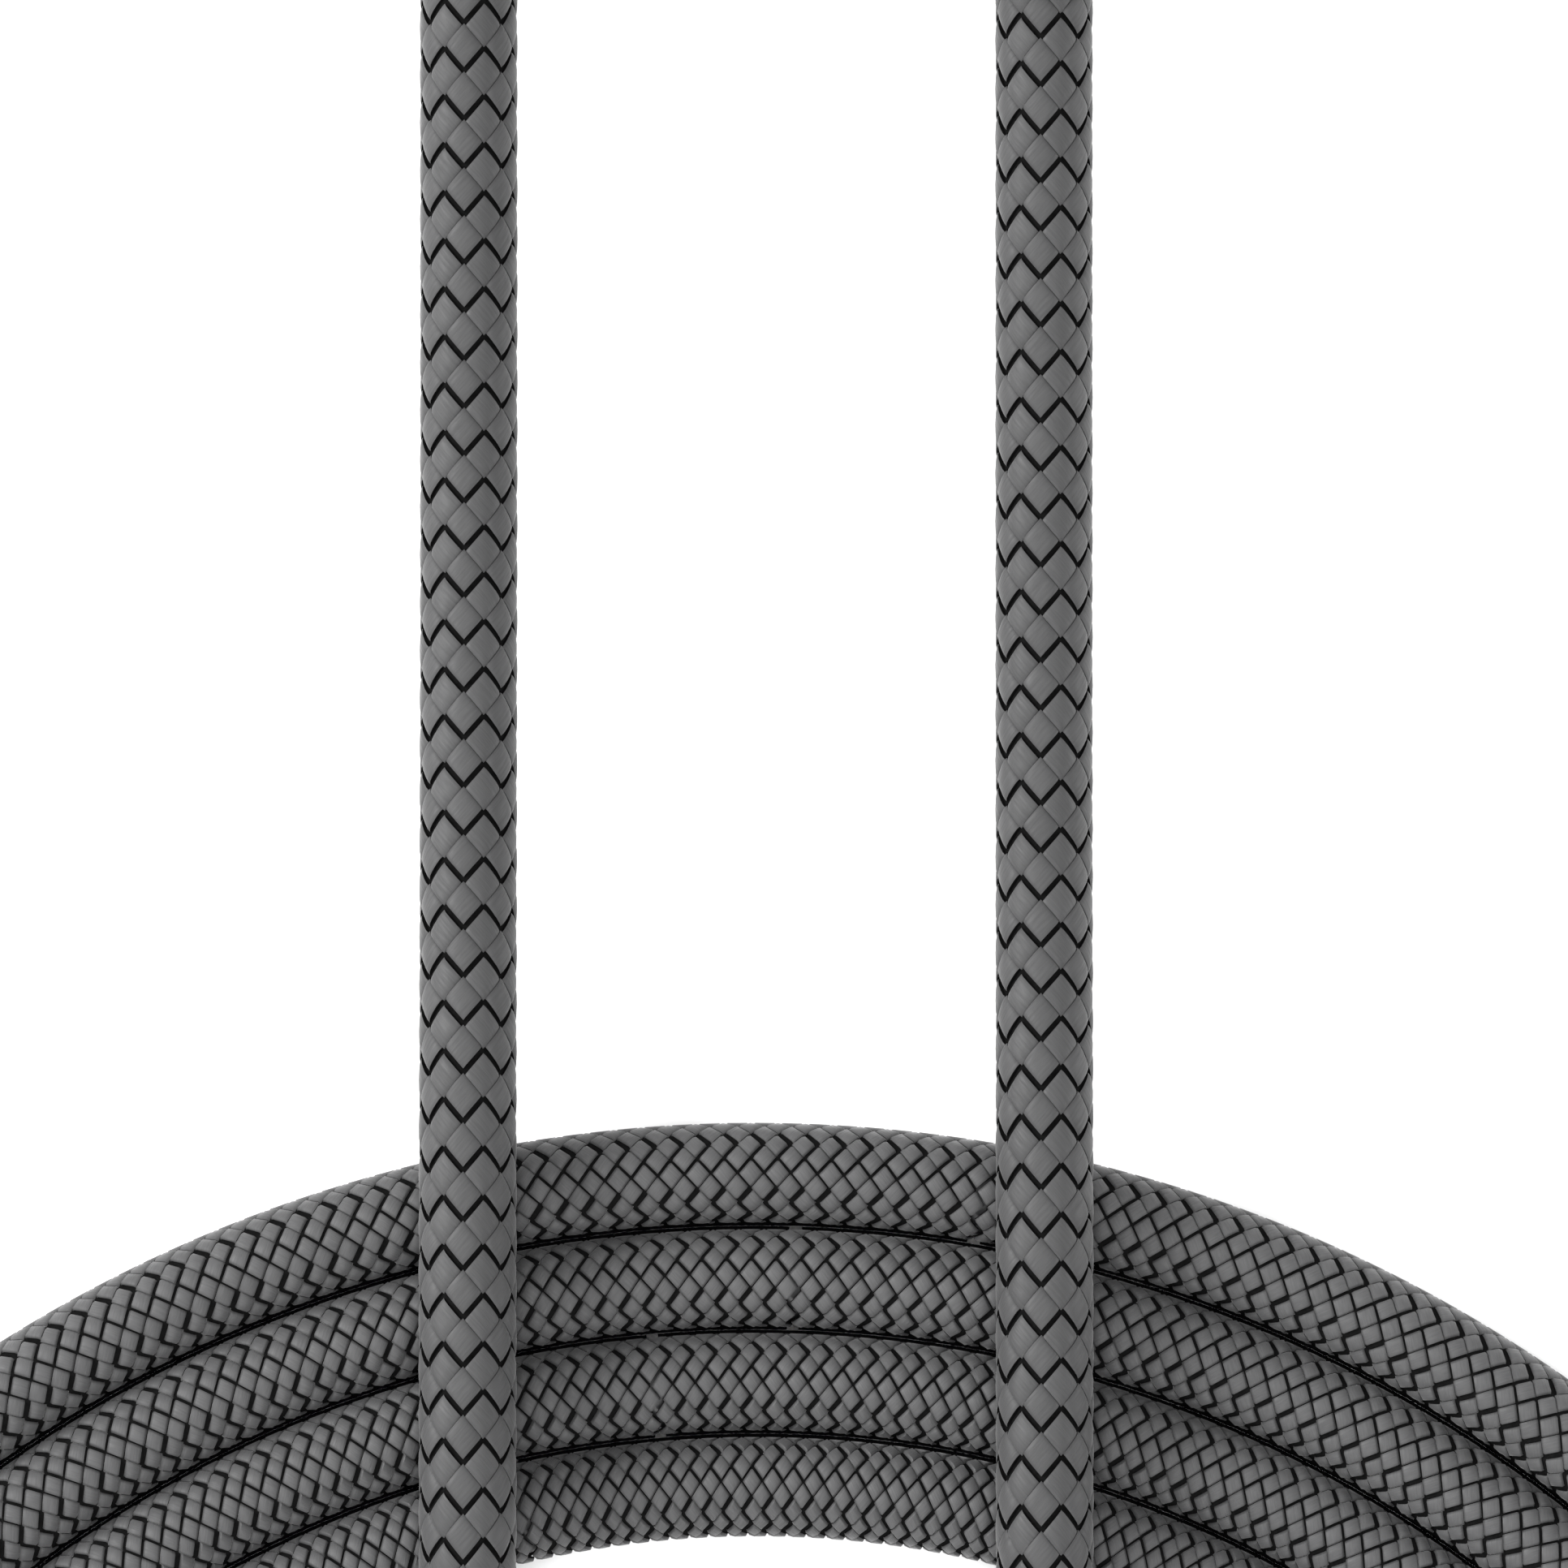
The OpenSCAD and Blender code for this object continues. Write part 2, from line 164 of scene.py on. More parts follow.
winding = []
for angle in range(joins_a, joins_c, -10):
    r = turn_radius(angle)
    winding.append((r * math.cos(math.radians(angle)), r * math.sin(math.radians(angle)), cable_d / 2))
route = [np.array(p, float) for p in lead_a + winding + lead_c[::-1]]
print("route points:", len(lead_a), "+", len(winding), "+", len(lead_c))

# %% [markdown]
# A smooth curve through the points is easy to work out by hand: each span between two points is a
# cubic that also looks at the points before and after it. The curve is then cut into even steps,
# so that a distance along the cable always means millimetres of real cable.

# %% Turn the points into an even line
def smooth_line(points, step):
    p = np.array([points[0]] + list(points) + [points[-1]], float)
    u = np.linspace(0, 1, 60, endpoint=False)[:, None]
    spans = []
    for i in range(len(points) - 1):
        a, b, c, d = p[i:i + 4]
        spans.append(0.5 * (2 * b + (c - a) * u + (2 * a - 5 * b + 4 * c - d) * u ** 2
                            + (3 * b - 3 * c + d - a) * u ** 3))
    dense = np.vstack(spans + [p[-1:]])
    far = np.concatenate([[0], np.cumsum(np.linalg.norm(np.diff(dense, axis=0), axis=1))])
    at = np.linspace(0, far[-1], int(far[-1] / step) + 1)
    return np.stack([np.interp(at, far, dense[:, k]) for k in range(3)], 1), at


line, far_along = smooth_line(route, 0.25)
whole_len = far_along[-1]
print("cable length", round(whole_len), "mm")


def nearest(x, y, first=0.0, last=None):
    """Distance along the cable of the place nearest to a point in plan."""
    inside = (far_along >= first) & (far_along <= (last or whole_len))
    gap = np.hypot(line[:, 0] - x, line[:, 1] - y)
    return far_along[inside][np.argmin(gap[inside])]


# %% [markdown]
# Every ring of yarns is set out from the cable's middle line with two arrows: one points up and
# one to the right of the way the cable runs. The cable never stands on end, so these two arrows
# never twist, and a yarn that starts on top stays where the weave takes it.

# %% Arrows across the line
class Path:
    """A line with its across arrows, read at any distance along it."""

    def __init__(self, points, along):
        self.along = along
        self.points = points
        ahead = np.gradient(points, along, axis=0)
        ahead /= np.linalg.norm(ahead, axis=1)[:, None]
        side = np.cross(ahead, (0, 0, 1))
        self.side = side / np.linalg.norm(side, axis=1)[:, None]
        self.up = np.cross(self.side, ahead)
        self.before = ahead[0]

    def place(self, s, turn, radius):
        """Points at distance s, at an angle in degrees from the top towards the right. The line
        runs straight on before its start, so that the braid can begin inside the plug."""
        def read(table):
            return np.stack([np.interp(s, self.along, table[:, k]) for k in range(3)], -1)
        t = np.radians(turn)[..., None]
        middle = read(self.points) + np.minimum(s, 0)[..., None] * self.before
        return middle + radius[..., None] * (np.cos(t) * read(self.up) + np.sin(t) * read(self.side))


from_a = Path(line, far_along)
from_c = Path(line[::-1], far_along)
print("the cable leaves its plugs towards", np.round(from_a.before, 2), np.round(from_c.before, 2))


def to_row(points):
    """From millimetres round the ring's centre to metres in the frame."""
    return (points + np.array([ring_at[0], ring_at[1], 0])) * mm


# %% [markdown]
# ## Meshes from arrays
# The braid has tens of thousands of small faces, so its meshes are filled from arrays in one go,
# which is much faster than adding faces one by one. Each vertex also carries where it lies on its
# yarn, for the filaments, and two marks: a tone, so that no two yarn crossings are quite alike,
# and how deep it sits below the crest of its yarn, which sets how much painted shade it gets.

# %% Build a mesh from arrays
def mesh_from(name, points, quads, strand=None, marks=None, kinds=None):
    """A piece with the given points and quads. strand is each vertex's place on its yarn, marks are
    its named numbers, and kinds is each quad's material."""
    mesh = bpy.data.meshes.new(name)
    mesh.vertices.add(len(points))
    mesh.vertices.foreach_set("co", points.astype(np.float32).ravel())
    mesh.loops.add(quads.size)
    mesh.loops.foreach_set("vertex_index", quads.astype(np.int32).ravel())
    mesh.polygons.add(len(quads))
    mesh.polygons.foreach_set("loop_start", np.arange(0, quads.size, 4, dtype=np.int32))
    if kinds is not None:
        mesh.polygons.foreach_set("material_index", kinds.astype(np.int32))
    mesh.update(calc_edges=True)
    if strand is not None:
        layer = mesh.uv_layers.new(name="strand")
        layer.data.foreach_set("uv", strand[quads.ravel()].astype(np.float32).ravel())
    for label, values in (marks or {}).items():
        mark = mesh.attributes.new(label, "FLOAT", "POINT")
        mark.data.foreach_set("value", values.astype(np.float32))
    mesh.validate()
    mesh.polygons.foreach_set("use_smooth", np.ones(len(mesh.polygons), bool))
    piece = bpy.data.objects.new(name, mesh)
    scene.collection.objects.link(piece)
    return piece


def tube(path, start, end, radius_at, spacing, sides):
    """Points and quads of a closed tube. radius_at gives its radius at a distance and an angle."""
    rings = max(2, int((end - start) / spacing) + 1)
    corners = np.arange(sides) * 360 / sides
    s, turn = np.meshgrid(np.linspace(start, end, rings), corners, indexing="ij")
    points = path.place(s, turn, radius_at(s, turn)).reshape(-1, 3)
    i, k = np.meshgrid(np.arange(rings - 1), np.arange(sides), indexing="ij")
    n = (k + 1) % sides
    walls = np.stack([i * sides + k, i * sides + n, (i + 1) * sides + n, (i + 1) * sides + k], -1)
    cap = np.array([(f, f + 1, sides - 2 - f, sides - 1 - f) for f in range(sides // 2 - 1)])
    return points, np.vstack([walls.reshape(-1, 4), cap[:, ::-1], cap + (rings - 1) * sides])


# %% [markdown]
# ## The jacket under the braid
# Under the braid runs a round jacket with the conductors in it. It is one plain tube from plug to
# plug, up to the stretch behind each plug that bends, and it is what gives the cable its length.

# %% Make the jacket
def level(radius):
    """A radius that is the same everywhere."""
    return lambda s, turn: np.full_like(s, radius)


jacket_r = 1.7
jacket_points, jacket_quads = tube(from_a, flex_len, whole_len - flex_len, level(jacket_r), 2, 16)
jacket = mesh_from("cable_jacket", to_row(jacket_points), jacket_quads)
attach(jacket, "cable")
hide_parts("cable_coil")
print("jacket faces", len(jacket.data.polygons))

# %% [markdown]
# ## The braid
# A braid is a plain weave wrapped round a tube. Half of its yarns wind to the right and half to
# the left, and each one goes over one crossing yarn and under the next. What shows is a
# chequerboard of small diamonds: each is the top of one yarn, high along its two long sides and
# dipping at the two ends where it dives under its neighbours. A pattern on a smooth tube
# would look flat at its edges, so each diamond here is a small curved patch with its own skirt,
# standing on a near-black tube. The steps and gaps between patches shade under the lamps, and
# the near-black of the tube and of the open skirts is painted shade that deepens the gaps.
#
# A diamond is set out along its two yarn directions, both from -1 to 1. Going along either of
# them moves one way along the cable; together they move round it in opposite ways.

# %% Lay out one diamond
def diamond_grid(stops):
    """The patch's stops in both directions, its quads, and its skirt's quads."""
    n = len(stops) - 1
    a, b = np.meshgrid(stops, stops, indexing="ij")
    i, j = np.meshgrid(np.arange(n), np.arange(n), indexing="ij")
    corner = i * (n + 1) + j
    top = np.stack([corner, corner + n + 1, corner + n + 2, corner + 1], -1).reshape(-1, 4)
    line_up = list(range(n))
    rim = ([x * (n + 1) for x in line_up] + [n * (n + 1) + x for x in line_up]
           + [(n - x) * (n + 1) + n for x in line_up] + [n - x for x in line_up])
    foot = (n + 1) ** 2 + np.arange(4 * n)
    p, q = np.array(rim), np.roll(rim, -1)
    skirt = np.stack([p, foot, np.roll(foot, -1), q], -1)
    return a.ravel(), b.ravel(), top, skirt, p


print("a patch of 3 by 3 quads has", len(diamond_grid([-1, -0.5, 0.5, 1])[3]), "skirt quads")

# %% [markdown]
# All the diamonds of one family, right-hand yarns or left-hand ones, are made at once. A diamond's
# four edges move in by their gaps, its top gets its height, and its rim is copied down into the
# dark tube as a skirt. Skirts at an open gap get the tube's near-black, a painted shade; the others
# have the colour of their yarn. How the weave looks is kept in a table:
# - strands is how many yarns wind each way, and first_turn(row) the angle of the first one;
# - stops are the places of a patch's points from -1 to 1;
# - shape is the radius of a yarn's crest, its dip at the ends and its fall along the sides;
# - gap_of(family, slant, turn) is the gap on each side of an edge at an angle, as a share of a
#   diamond: family 0 is ahead of right-hand yarns and family 1 ahead of left-hand ones, slant 0
#   crosses the right-hand yarns and slant 1 follows them;
# - pressed(row, turn) is how far the yarns are pushed in;
# - base(s, turn) is the radius of the dark tube under the yarns at a distance and an angle.

# %% Lay out the diamonds of one family
edge_power = 5  # a high power keeps a yarn flat and drops it only near its edges
skirt_below = 0.05  # how far a skirt reaches into the tube under it
open_from = 0.03  # gaps from this share of a diamond on count as open
streak_spread = 40  # so that no two diamonds share their streaks


def one_family(kind, path, rows, distance_of, weave, chance):
    """The diamonds of right-hand yarns, kind 0, or left-hand ones, kind 1: their points, places on
    the yarn, tones and depths, and which of their skirt quads get the near-black painted shade."""
    a, b, _, skirt, rim = diamond_grid(weave["stops"])
    crest, dip, fall = weave["shape"]
    strands, gap_of = weave["strands"], weave["gap_of"]
    step = 360 / strands
    row, k = np.meshgrid(rows + kind / 2, np.arange(strands) + kind / 2, indexing="ij")
    row, turn = row.ravel()[:, None], (weave["first_turn"](row) + k * step).ravel()[:, None]
    left, right = turn - step / 4, turn + step / 4
    u_front, v_front = gap_of(kind, 0, right), gap_of(kind, 1, left)
    u_back, v_back = gap_of(1 - kind, 0, left), gap_of(1 - kind, 1, right)
    u = (u_back - u_front) / 2 + (1 - u_front - u_back) / 2 * a
    v = (v_back - v_front) / 2 + (1 - v_front - v_back) / 2 * b
    along, across = (a, b) if kind == 0 else (b, a)
    s, angle = distance_of(row + (u + v) / 2), turn + step / 2 * (u - v)
    dipped = dip * np.abs(along) ** edge_power
    fallen = fall * np.abs(across) ** edge_power
    radius = crest - dipped - fallen - weave["pressed"](row, angle)
    patch = path.place(s, angle, radius)
    foot_radius = np.minimum(weave["base"](s, angle), radius)[:, rim] - skirt_below
    foot = path.place(s[:, rim], angle[:, rim], foot_radius)
    side = math.radians(step) * crest * 0.7  # about the side of a diamond
    shift = chance.uniform(0, streak_spread, (len(row), 1))
    where = np.stack([across * side / 2 + shift, along * side / 2 + shift[::-1]], -1)
    tone = chance.uniform(0, 1, (len(row), 1)) + 0 * a
    depth = (dipped + fallen) / (dip + fall) + 0 * u
    edges = np.concatenate([v_back, u_front, v_front, u_back], 1)
    joined = [np.concatenate(pair, 1) for pair in (
        (patch, foot), (where, where[:, rim]), (tone, tone[:, rim]), (depth, 1 + 0 * depth[:, rim]))]
    return joined + [np.repeat(edges > open_from, len(skirt) // 4, axis=1)]


print("skirt quads of a patch of 3 by 3:", len(diamond_grid([-1, -0.5, 0.5, 1])[3]))

# %% [markdown]
# A stretch of braid is both families and the dark tube under them, joined into one mesh. Its chance
# numbers start from its own first row, so each stretch is the same every time it is made.

# %% Weave one stretch of braid
base_spacing, base_sides = 0.8, 48  # of the dark tube
crease = math.radians(50)  # faces that meet more sharply than this are not shaded as one
seed = 5000


def braid(name, path, rows, distance_of, weave):
    """A braided sleeve. rows are the row numbers of its diamonds, distance_of turns a row number
    into a distance, and weave is the table of the weave's looks."""
    chance = np.random.default_rng(seed + int(rows[0]))
    families = [one_family(kind, path, rows, distance_of, weave, chance) for kind in (0, 1)]
    points, strand, tone, depth, dark = (np.concatenate(both) for both in zip(*families))
    _, _, top, skirt, _ = diamond_grid(weave["stops"])
    count, each = points.shape[:2]
    offset = (np.arange(count) * each)[:, None, None]
    quads = np.concatenate([(top + offset).reshape(-1, 4), (skirt + offset).reshape(-1, 4)])
    start, end = distance_of(rows[0]), distance_of(rows[-1] + 0.5)
    under, under_quads = tube(path, start, end, weave["base"], base_spacing, base_sides)
    # Open skirts and the tube get material 1, the near-black painted shade between the yarns.
    kinds = np.concatenate([np.zeros(count * len(top)), dark.ravel(), np.ones(len(under_quads))])
    everything = to_row(np.vstack([points.reshape(-1, 3), under]))
    all_quads = np.vstack([quads, under_quads + count * each])
    strand = np.vstack([strand.reshape(-1, 2), np.zeros((len(under), 2))])
    marks = {"tone": np.append(tone, np.zeros(len(under))), "depth": np.append(depth, np.ones(len(under)))}
    piece = mesh_from(name, everything, all_quads, strand, marks, kinds)
    piece.data.set_sharp_from_angle(angle=crease)
    print(name, "diamonds", count, "quads", len(piece.data.polygons))
    return piece

# %% [markdown]
# ### The two leads
# The leads carry the coarser braid: seven yarns each way and a diamond almost two millimetres
# long. The wide gaps lie in front of the right-hand yarns all the way round, so zigzags of the
# tube's near-black painted shade run across the lead, and elsewhere the yarns close up against
# each other. Each lead is woven from its plug towards the ring and starts just inside the strain
# relief, which grips it.

# %% Weave the leads
lead_pitch = 1.968  # from one row of diamonds to the next
open_gap, closed_gap = 0.087, 0.003  # shares of a diamond
lead_ends = {  # how far from its plug each lead reaches the ring
    "a": nearest(-12.8, -54.5, 120, 220),
    "c": whole_len - nearest(run, -41.2, whole_len - 200, whole_len - 120),
}


def lead_gap(family, slant, turn):
    return np.full_like(turn, open_gap if family == 0 else closed_gap)


lead_weave = {
    "strands": 7,
    "first_turn": lambda row: 5.0 + 0 * row,
    "stops": np.array([-1, -0.9, -0.72, -0.3, 0.3, 0.72, 0.9, 1]),
    "shape": (2.01, 0.10, 0.06),
    "gap_of": lead_gap,
    "pressed": lambda row, turn: 0,
    "base": level(1.8),
}


def weave_lead(name, path, last, first_at):
    """first_at is the distance of the weave's first whole row, which sets where its zigzags fall."""
    rows = np.arange(-1, int(last / lead_pitch)) + first_at / lead_pitch
    return braid(name, path, rows, lambda row: row * lead_pitch, lead_weave)


braid_a = weave_lead("braid_lead_a", from_a, lead_ends["a"], 0.98)
braid_c = weave_lead("braid_lead_c", from_c, lead_ends["c"], 1.81)
print("leads reach the ring after", round(lead_ends["a"]), "and", round(lead_ends["c"]), "mm")

# %% [markdown]
# ### The ring
# The ring's braid is finer: ten yarns each way. Wound tightly, every turn has the same number of
# rows, so the inner turns look packed and the outer ones drawn out. Here the gaps change over
# near the top of the cable: they lie in front of the right-hand yarns on the outer half and in
# front of the left-hand yarns on the inner half, and where the two overlap a zigzag runs along
# the cable. Half a turn is one piece, which keeps each mesh to a size that a printer can read.
#
# Rows are counted by bearing, so first the bearing of every point of the line is worked out, and
# then the rows are tied to it.

# %% Count the ring's rows
rows_in_turn = 323
bearing = np.degrees(np.unwrap(np.arctan2(line[:, 1], line[:, 0])))
early = bearing[np.searchsorted(far_along, lead_ends["a"] + 200)]
bearing_at_top = 90 + 360 * round((early - 90) / 360)
row_of = (bearing_at_top - bearing) * rows_in_turn / 360
on_ring = (far_along > lead_ends["a"] - 5) & (far_along < whole_len - lead_ends["c"] + 5)
print("ring rows", round(float(row_of[on_ring][0])), "to", round(float(row_of[on_ring][-1])))


def ring_distance(row):
    return np.interp(row, row_of[on_ring], far_along[on_ring])


def ring_turn(row):
    """Angle of the first right-hand yarn; the weave drifts a little from turn to turn."""
    return -4.8 + 2.4 * np.cos(math.pi * row / rows_in_turn)


# %% [markdown]
# The table gives each kind of edge its gap at some angles from the top of the cable outwards, as a
# share of the ring's usual gap. Between those angles the gap changes evenly.

# %% Gaps of the ring's weave
ring_open_gap = 0.085  # share of a diamond
open_at = {
    (0, 0): ([-15, 5, 20, 45, 60], [0, 0.4, 0.9, 1.1, 0.1]),
    (0, 1): ([-10, 12, 40, 60, 75], [0, 0.8, 1.8, 1.7, 0.2]),
    (1, 0): ([-80, -60, -35, -10, 12, 30], [3.2, 2.0, 2.0, 1.3, 0.8, 0]),
    (1, 1): ([-75, -43, -6, 15], [2.2, 1.3, 0.5, 0]),
}


def outwards(turn):
    """Angle from the top towards the outside of the ring; the underside mirrors the top."""
    return np.degrees(np.arcsin(np.sin(np.radians(-turn))))


def ring_gap(family, slant, turn):
    return closed_gap + ring_open_gap * np.interp(outwards(turn), *open_at[family, slant])


print("widest gap on top, in parts of a diamond:", round(float(ring_gap(1, 0, 0.0)), 3))

# %% [markdown]
# Where two turns lie against each other, they squeeze each other's yarns flat. There the tube under
# the yarns is widened just below its sides until it almost meets its neighbour, so that hardly any
# light comes up between the turns, and its near-black fills the crevice as painted shade. Where the
# cable rises or turns away, it stays round.

# %% Let the turns press on each other
squeeze = 0.16  # how far the yarns between two turns are pushed in
ring_base_r = 1.96
filler = 0.2  # how much wider the tube is between two turns
touching, apart_by = 0.1, 0.5  # millimetres of distance over which turns stop touching


def close_by(row, other):
    """1 where the cable at two rows lies side by side, 0 where it has risen or bent away."""
    here, there = (np.stack([np.interp(r, row_of[on_ring], line[on_ring, k]) for k in range(3)], -1)
                   for r in (row, other))
    span = here - there
    aside = np.linalg.norm(span[..., :2], axis=-1) - turn_gap
    above = np.abs(span[..., 2])
    return (1 - ease((aside - touching) / apart_by)) * (1 - ease((above - touching) / apart_by))


def has_neighbour(row, turn):
    """1 on the sides where another turn lies against this one, 0 on the free sides."""
    outer, inner = close_by(row, row - rows_in_turn), close_by(row, row + rows_in_turn)
    return np.where(outwards(turn) > 0, outer, inner)


def ring_pressed(row, turn):
    """Neighbouring turns squeeze the yarns between them."""
    return squeeze * ease((np.abs(outwards(turn)) - 72) / 17) * has_neighbour(row, turn)


def ring_base(s, turn):
    """Between turns the tube under the yarns is wider just below its sides, and narrows the gap."""
    side = np.abs((turn + 180) % 360 - 180)
    row = np.interp(s, far_along[on_ring], row_of[on_ring])
    widened = ease((side - 82) / 20) * ease((145 - side) / 20)
    return ring_base_r + filler * widened * has_neighbour(row, turn)


sides = np.arange(70.0, 130.0)
reach = ring_base(ring_distance(2 * rows_in_turn + 0 * sides), sides) * np.sin(np.radians(sides))
print("half the distance between turns:", round(turn_gap / 2, 3), "reach:", round(float(reach.max()), 3))

# %% [markdown]
# With its rows, gaps and squeezed sides settled, the ring is woven half a turn at a time. Its yarns
# are smaller than those of the leads, so a patch needs fewer stops.

# %% Weave the ring
ring_weave = {
    "strands": 10,
    "first_turn": ring_turn,
    "stops": np.array([-1, -0.7, 0.7, 1]),
    "shape": (2.13, 0.12, 0.07),
    "gap_of": ring_gap,
    "pressed": ring_pressed,
    "base": ring_base,
}
row_shift = -0.2  # sets where the weave's zigzags fall
half_turns = 8
first_row = np.interp(lead_ends["a"], far_along, row_of)
last_row = np.interp(whole_len - lead_ends["c"], far_along, row_of)
cuts = np.linspace(first_row, last_row, half_turns + 1)
braid_ring = []
for part in range(half_turns):
    rows = np.arange(math.ceil(cuts[part]), math.ceil(cuts[part + 1])) + row_shift
    piece = braid(f"braid_ring_{part + 1}", from_a, rows, ring_distance, ring_weave)
    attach(piece, "cable")
    braid_ring.append(piece)
print("ring pieces:", len(braid_ring))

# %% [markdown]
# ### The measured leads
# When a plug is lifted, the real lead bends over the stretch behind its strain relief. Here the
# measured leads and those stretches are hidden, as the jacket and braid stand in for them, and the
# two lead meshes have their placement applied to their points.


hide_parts("cable_lead_a", "flex_a")
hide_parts("cable_lead_c", "flex_c")
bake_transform(braid_a)
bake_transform(braid_c)

# %% [markdown]
# ## Finishes
# Several finishes share the same effects, so each effect is a node group that is built once:
# filaments that run along a yarn, a fine grain for cast and blasted surfaces, and pale wear where
# a surface has sharp edges. A group only gives out colours, masks and heights. The shader itself
# stays in each material.

# %% Small helpers for node trees
class Tree:
    """Adds nodes to a node tree. A socket given as a value is set; one given as a node is linked."""

    def __init__(self, tree):
        self.tree = tree

    def add(self, kind, settings=None, **sockets):
        node = self.tree.nodes.new("ShaderNode" + kind)
        for key, value in (settings or {}).items():
            setattr(node, key, value)
        for key, value in sockets.items():
            self.put(node.inputs[key.replace("_", " ")], value)
        return node

    def put(self, socket, value):
        if isinstance(value, bpy.types.NodeSocket):
            self.tree.links.new(value, socket)
        else:
            socket.default_value = value

    def sum_of(self, *parts):
        """Adds up (value, share) pairs."""
        total = 0.0
        for value, share in parts:
            node = self.add("Math", {"operation": "MULTIPLY_ADD"})
            for socket, item in zip(node.inputs, (value, share, total)):
                self.put(socket, item)
            total = node.outputs[0]
        return total

    def mix(self, share, first, second):
        """A mix of two colours, whose sockets are found by number, as their names are used twice."""
        node = self.add("Mix", {"data_type": "RGBA"})
        for number, item in ((0, share), (6, first), (7, second)):
            self.put(node.inputs[number], item)
        return node.outputs[2]

    def remap(self, value, low, high, to_low=0.0, to_high=1.0):
        return self.add("MapRange", None, Value=value, From_Min=low, From_Max=high,
                        To_Min=to_low, To_Max=to_high).outputs[0]


def new_group(name, inputs, outputs):
    """An empty node group with its sockets. inputs give each one's start value."""
    group = bpy.data.node_groups.new(name, "ShaderNodeTree")
    for label, value in inputs.items():
        kind = "NodeSocketColor" if isinstance(value, tuple) else "NodeSocketFloat"
        group.interface.new_socket(label, in_out="INPUT", socket_type=kind).default_value = value
    for label, kind in outputs.items():
        group.interface.new_socket(label, in_out="OUTPUT", socket_type="NodeSocket" + kind)
    given = group.nodes.new("NodeGroupInput").outputs
    out = group.nodes.new("NodeGroupOutput").inputs
    return Tree(group), given, out


# %% [markdown]
# ### Filaments of a yarn
# A polyester yarn is a flat bundle of hair-thin filaments. They show as fine streaks along the
# yarn, a little lighter and darker, with a low relief. The streaks are a noise that is stretched
# along the yarn's own direction, which every diamond carries with it. Each diamond's own tone and
# a slow cloudy change along the cable keep the braid from looking printed. On top of that, the
# colour is mixed towards near-black by how deep a point lies below its yarn's crest: a painted
# shade at the yarn's edges and on the tube, with a strength that each yarn material sets.

# %% Filament group
filaments, given, out = new_group(
    "yarn_filaments",
    {"Yarn": (0.2, 0.2, 0.2, 1), "Shade": (0.1, 0.1, 0.1, 1), "Fineness": 9.0, "Sunk": 0.5},
    {"Color": "Color", "Roughness": "Float", "Height": "Float"})
strand = filaments.add("UVMap", {"uv_map": "strand"}).outputs["UV"]
stretched = filaments.add("Mapping", None, Vector=strand, Scale=(1, 0.08, 1)).outputs[0]
streak = filaments.add("TexNoise", {"noise_dimensions": "2D"}, Vector=stretched,
                       Scale=given["Fineness"], Detail=3.0, Roughness=0.6).outputs["Fac"]
tone = filaments.add("Attribute", {"attribute_name": "tone"}).outputs["Fac"]
where = filaments.add("TexCoord").outputs["Object"]
cloud = filaments.add("TexNoise", None, Vector=where, Scale=160.0, Detail=2.0).outputs["Fac"]
share = filaments.sum_of((filaments.remap(streak, 0.3, 0.7), 0.4), (tone, 0.35), (cloud, 0.25))
mottled = filaments.mix(share, given["Yarn"], given["Shade"])
# Painted shade: the deeper a point lies below its yarn's crest, the more its colour is mixed towards
# near-black.
depth = filaments.add("Attribute", {"attribute_name": "depth"}).outputs["Fac"]
painted_shade_share = filaments.sum_of((depth, given["Sunk"]))
unlit = (0.004, 0.004, 0.004, 1)
filaments.put(out["Color"], filaments.mix(painted_shade_share, mottled, unlit))
filaments.put(out["Roughness"], filaments.remap(streak, 0.2, 0.8, 0.5, 0.72))
filaments.put(out["Height"], streak)
print(filaments.tree.name, "nodes:", len(filaments.tree.nodes))

# %% [markdown]
# ### Grain and handling
# Moulded plastic copies the spark-eroded grain of its mould, and blasted aluminium has a finer
# one. Both are small bumps of one size, so one group serves them with different scales. Handling
# leaves areas a little smoother and a little duller, which only shows in the shine.

# %% Grain group
grain, given, out = new_group(
    "surface_grain", {"Scale": 9000.0, "Smooth": 0.35, "Rough": 0.55},
    {"Roughness": "Float", "Height": "Float"})
where = grain.add("TexCoord").outputs["Object"]
pits = grain.add("TexNoise", None, Vector=where, Scale=given["Scale"], Detail=2.0, Roughness=0.7)
touched = grain.add("TexNoise", None, Vector=where, Scale=420.0, Detail=5.0, Roughness=0.7).outputs["Fac"]
handled = grain.remap(touched, 0.35, 0.65, given["Smooth"], given["Rough"])
grain.put(out["Roughness"], handled)
grain.put(out["Height"], pits.outputs["Fac"])
print(grain.tree.name, "nodes:", len(grain.tree.nodes))

# %% [markdown]
# ### Worn edges
# Edges rub first. The group finds the places where the surface turns sharply, breaks them up with
# noise, and mixes in the colour of what lies under the finish.

# %% Wear group
wear, given, out = new_group(
    "edge_wear", {"Finish": (0.1, 0.1, 0.1, 1), "Bare": (0.5, 0.5, 0.5, 1), "Amount": 0.5},
    {"Color": "Color"})
turned = wear.add("NewGeometry").outputs["Pointiness"]
where = wear.add("TexCoord").outputs["Object"]
broken = wear.add("TexNoise", None, Vector=where, Scale=2600.0, Detail=5.0, Roughness=0.7).outputs["Fac"]
edge = wear.sum_of((wear.remap(turned, 0.56, 0.7), 0.6), (wear.remap(broken, 0.42, 0.72), 0.5))
mask = wear.remap(edge, 0.55, 1.0, 0.0, given["Amount"])
wear.put(out["Color"], wear.mix(mask, given["Finish"], given["Bare"]))
print(wear.tree.name, "nodes:", len(wear.tree.nodes))

# %% [markdown]
# ### Brushed streaks
# Rolled and plated sheet keeps the streaks of its rolls. They run along the plug, so the noise is
# stretched in that direction, and they change both the shine and, very slightly, the relief.

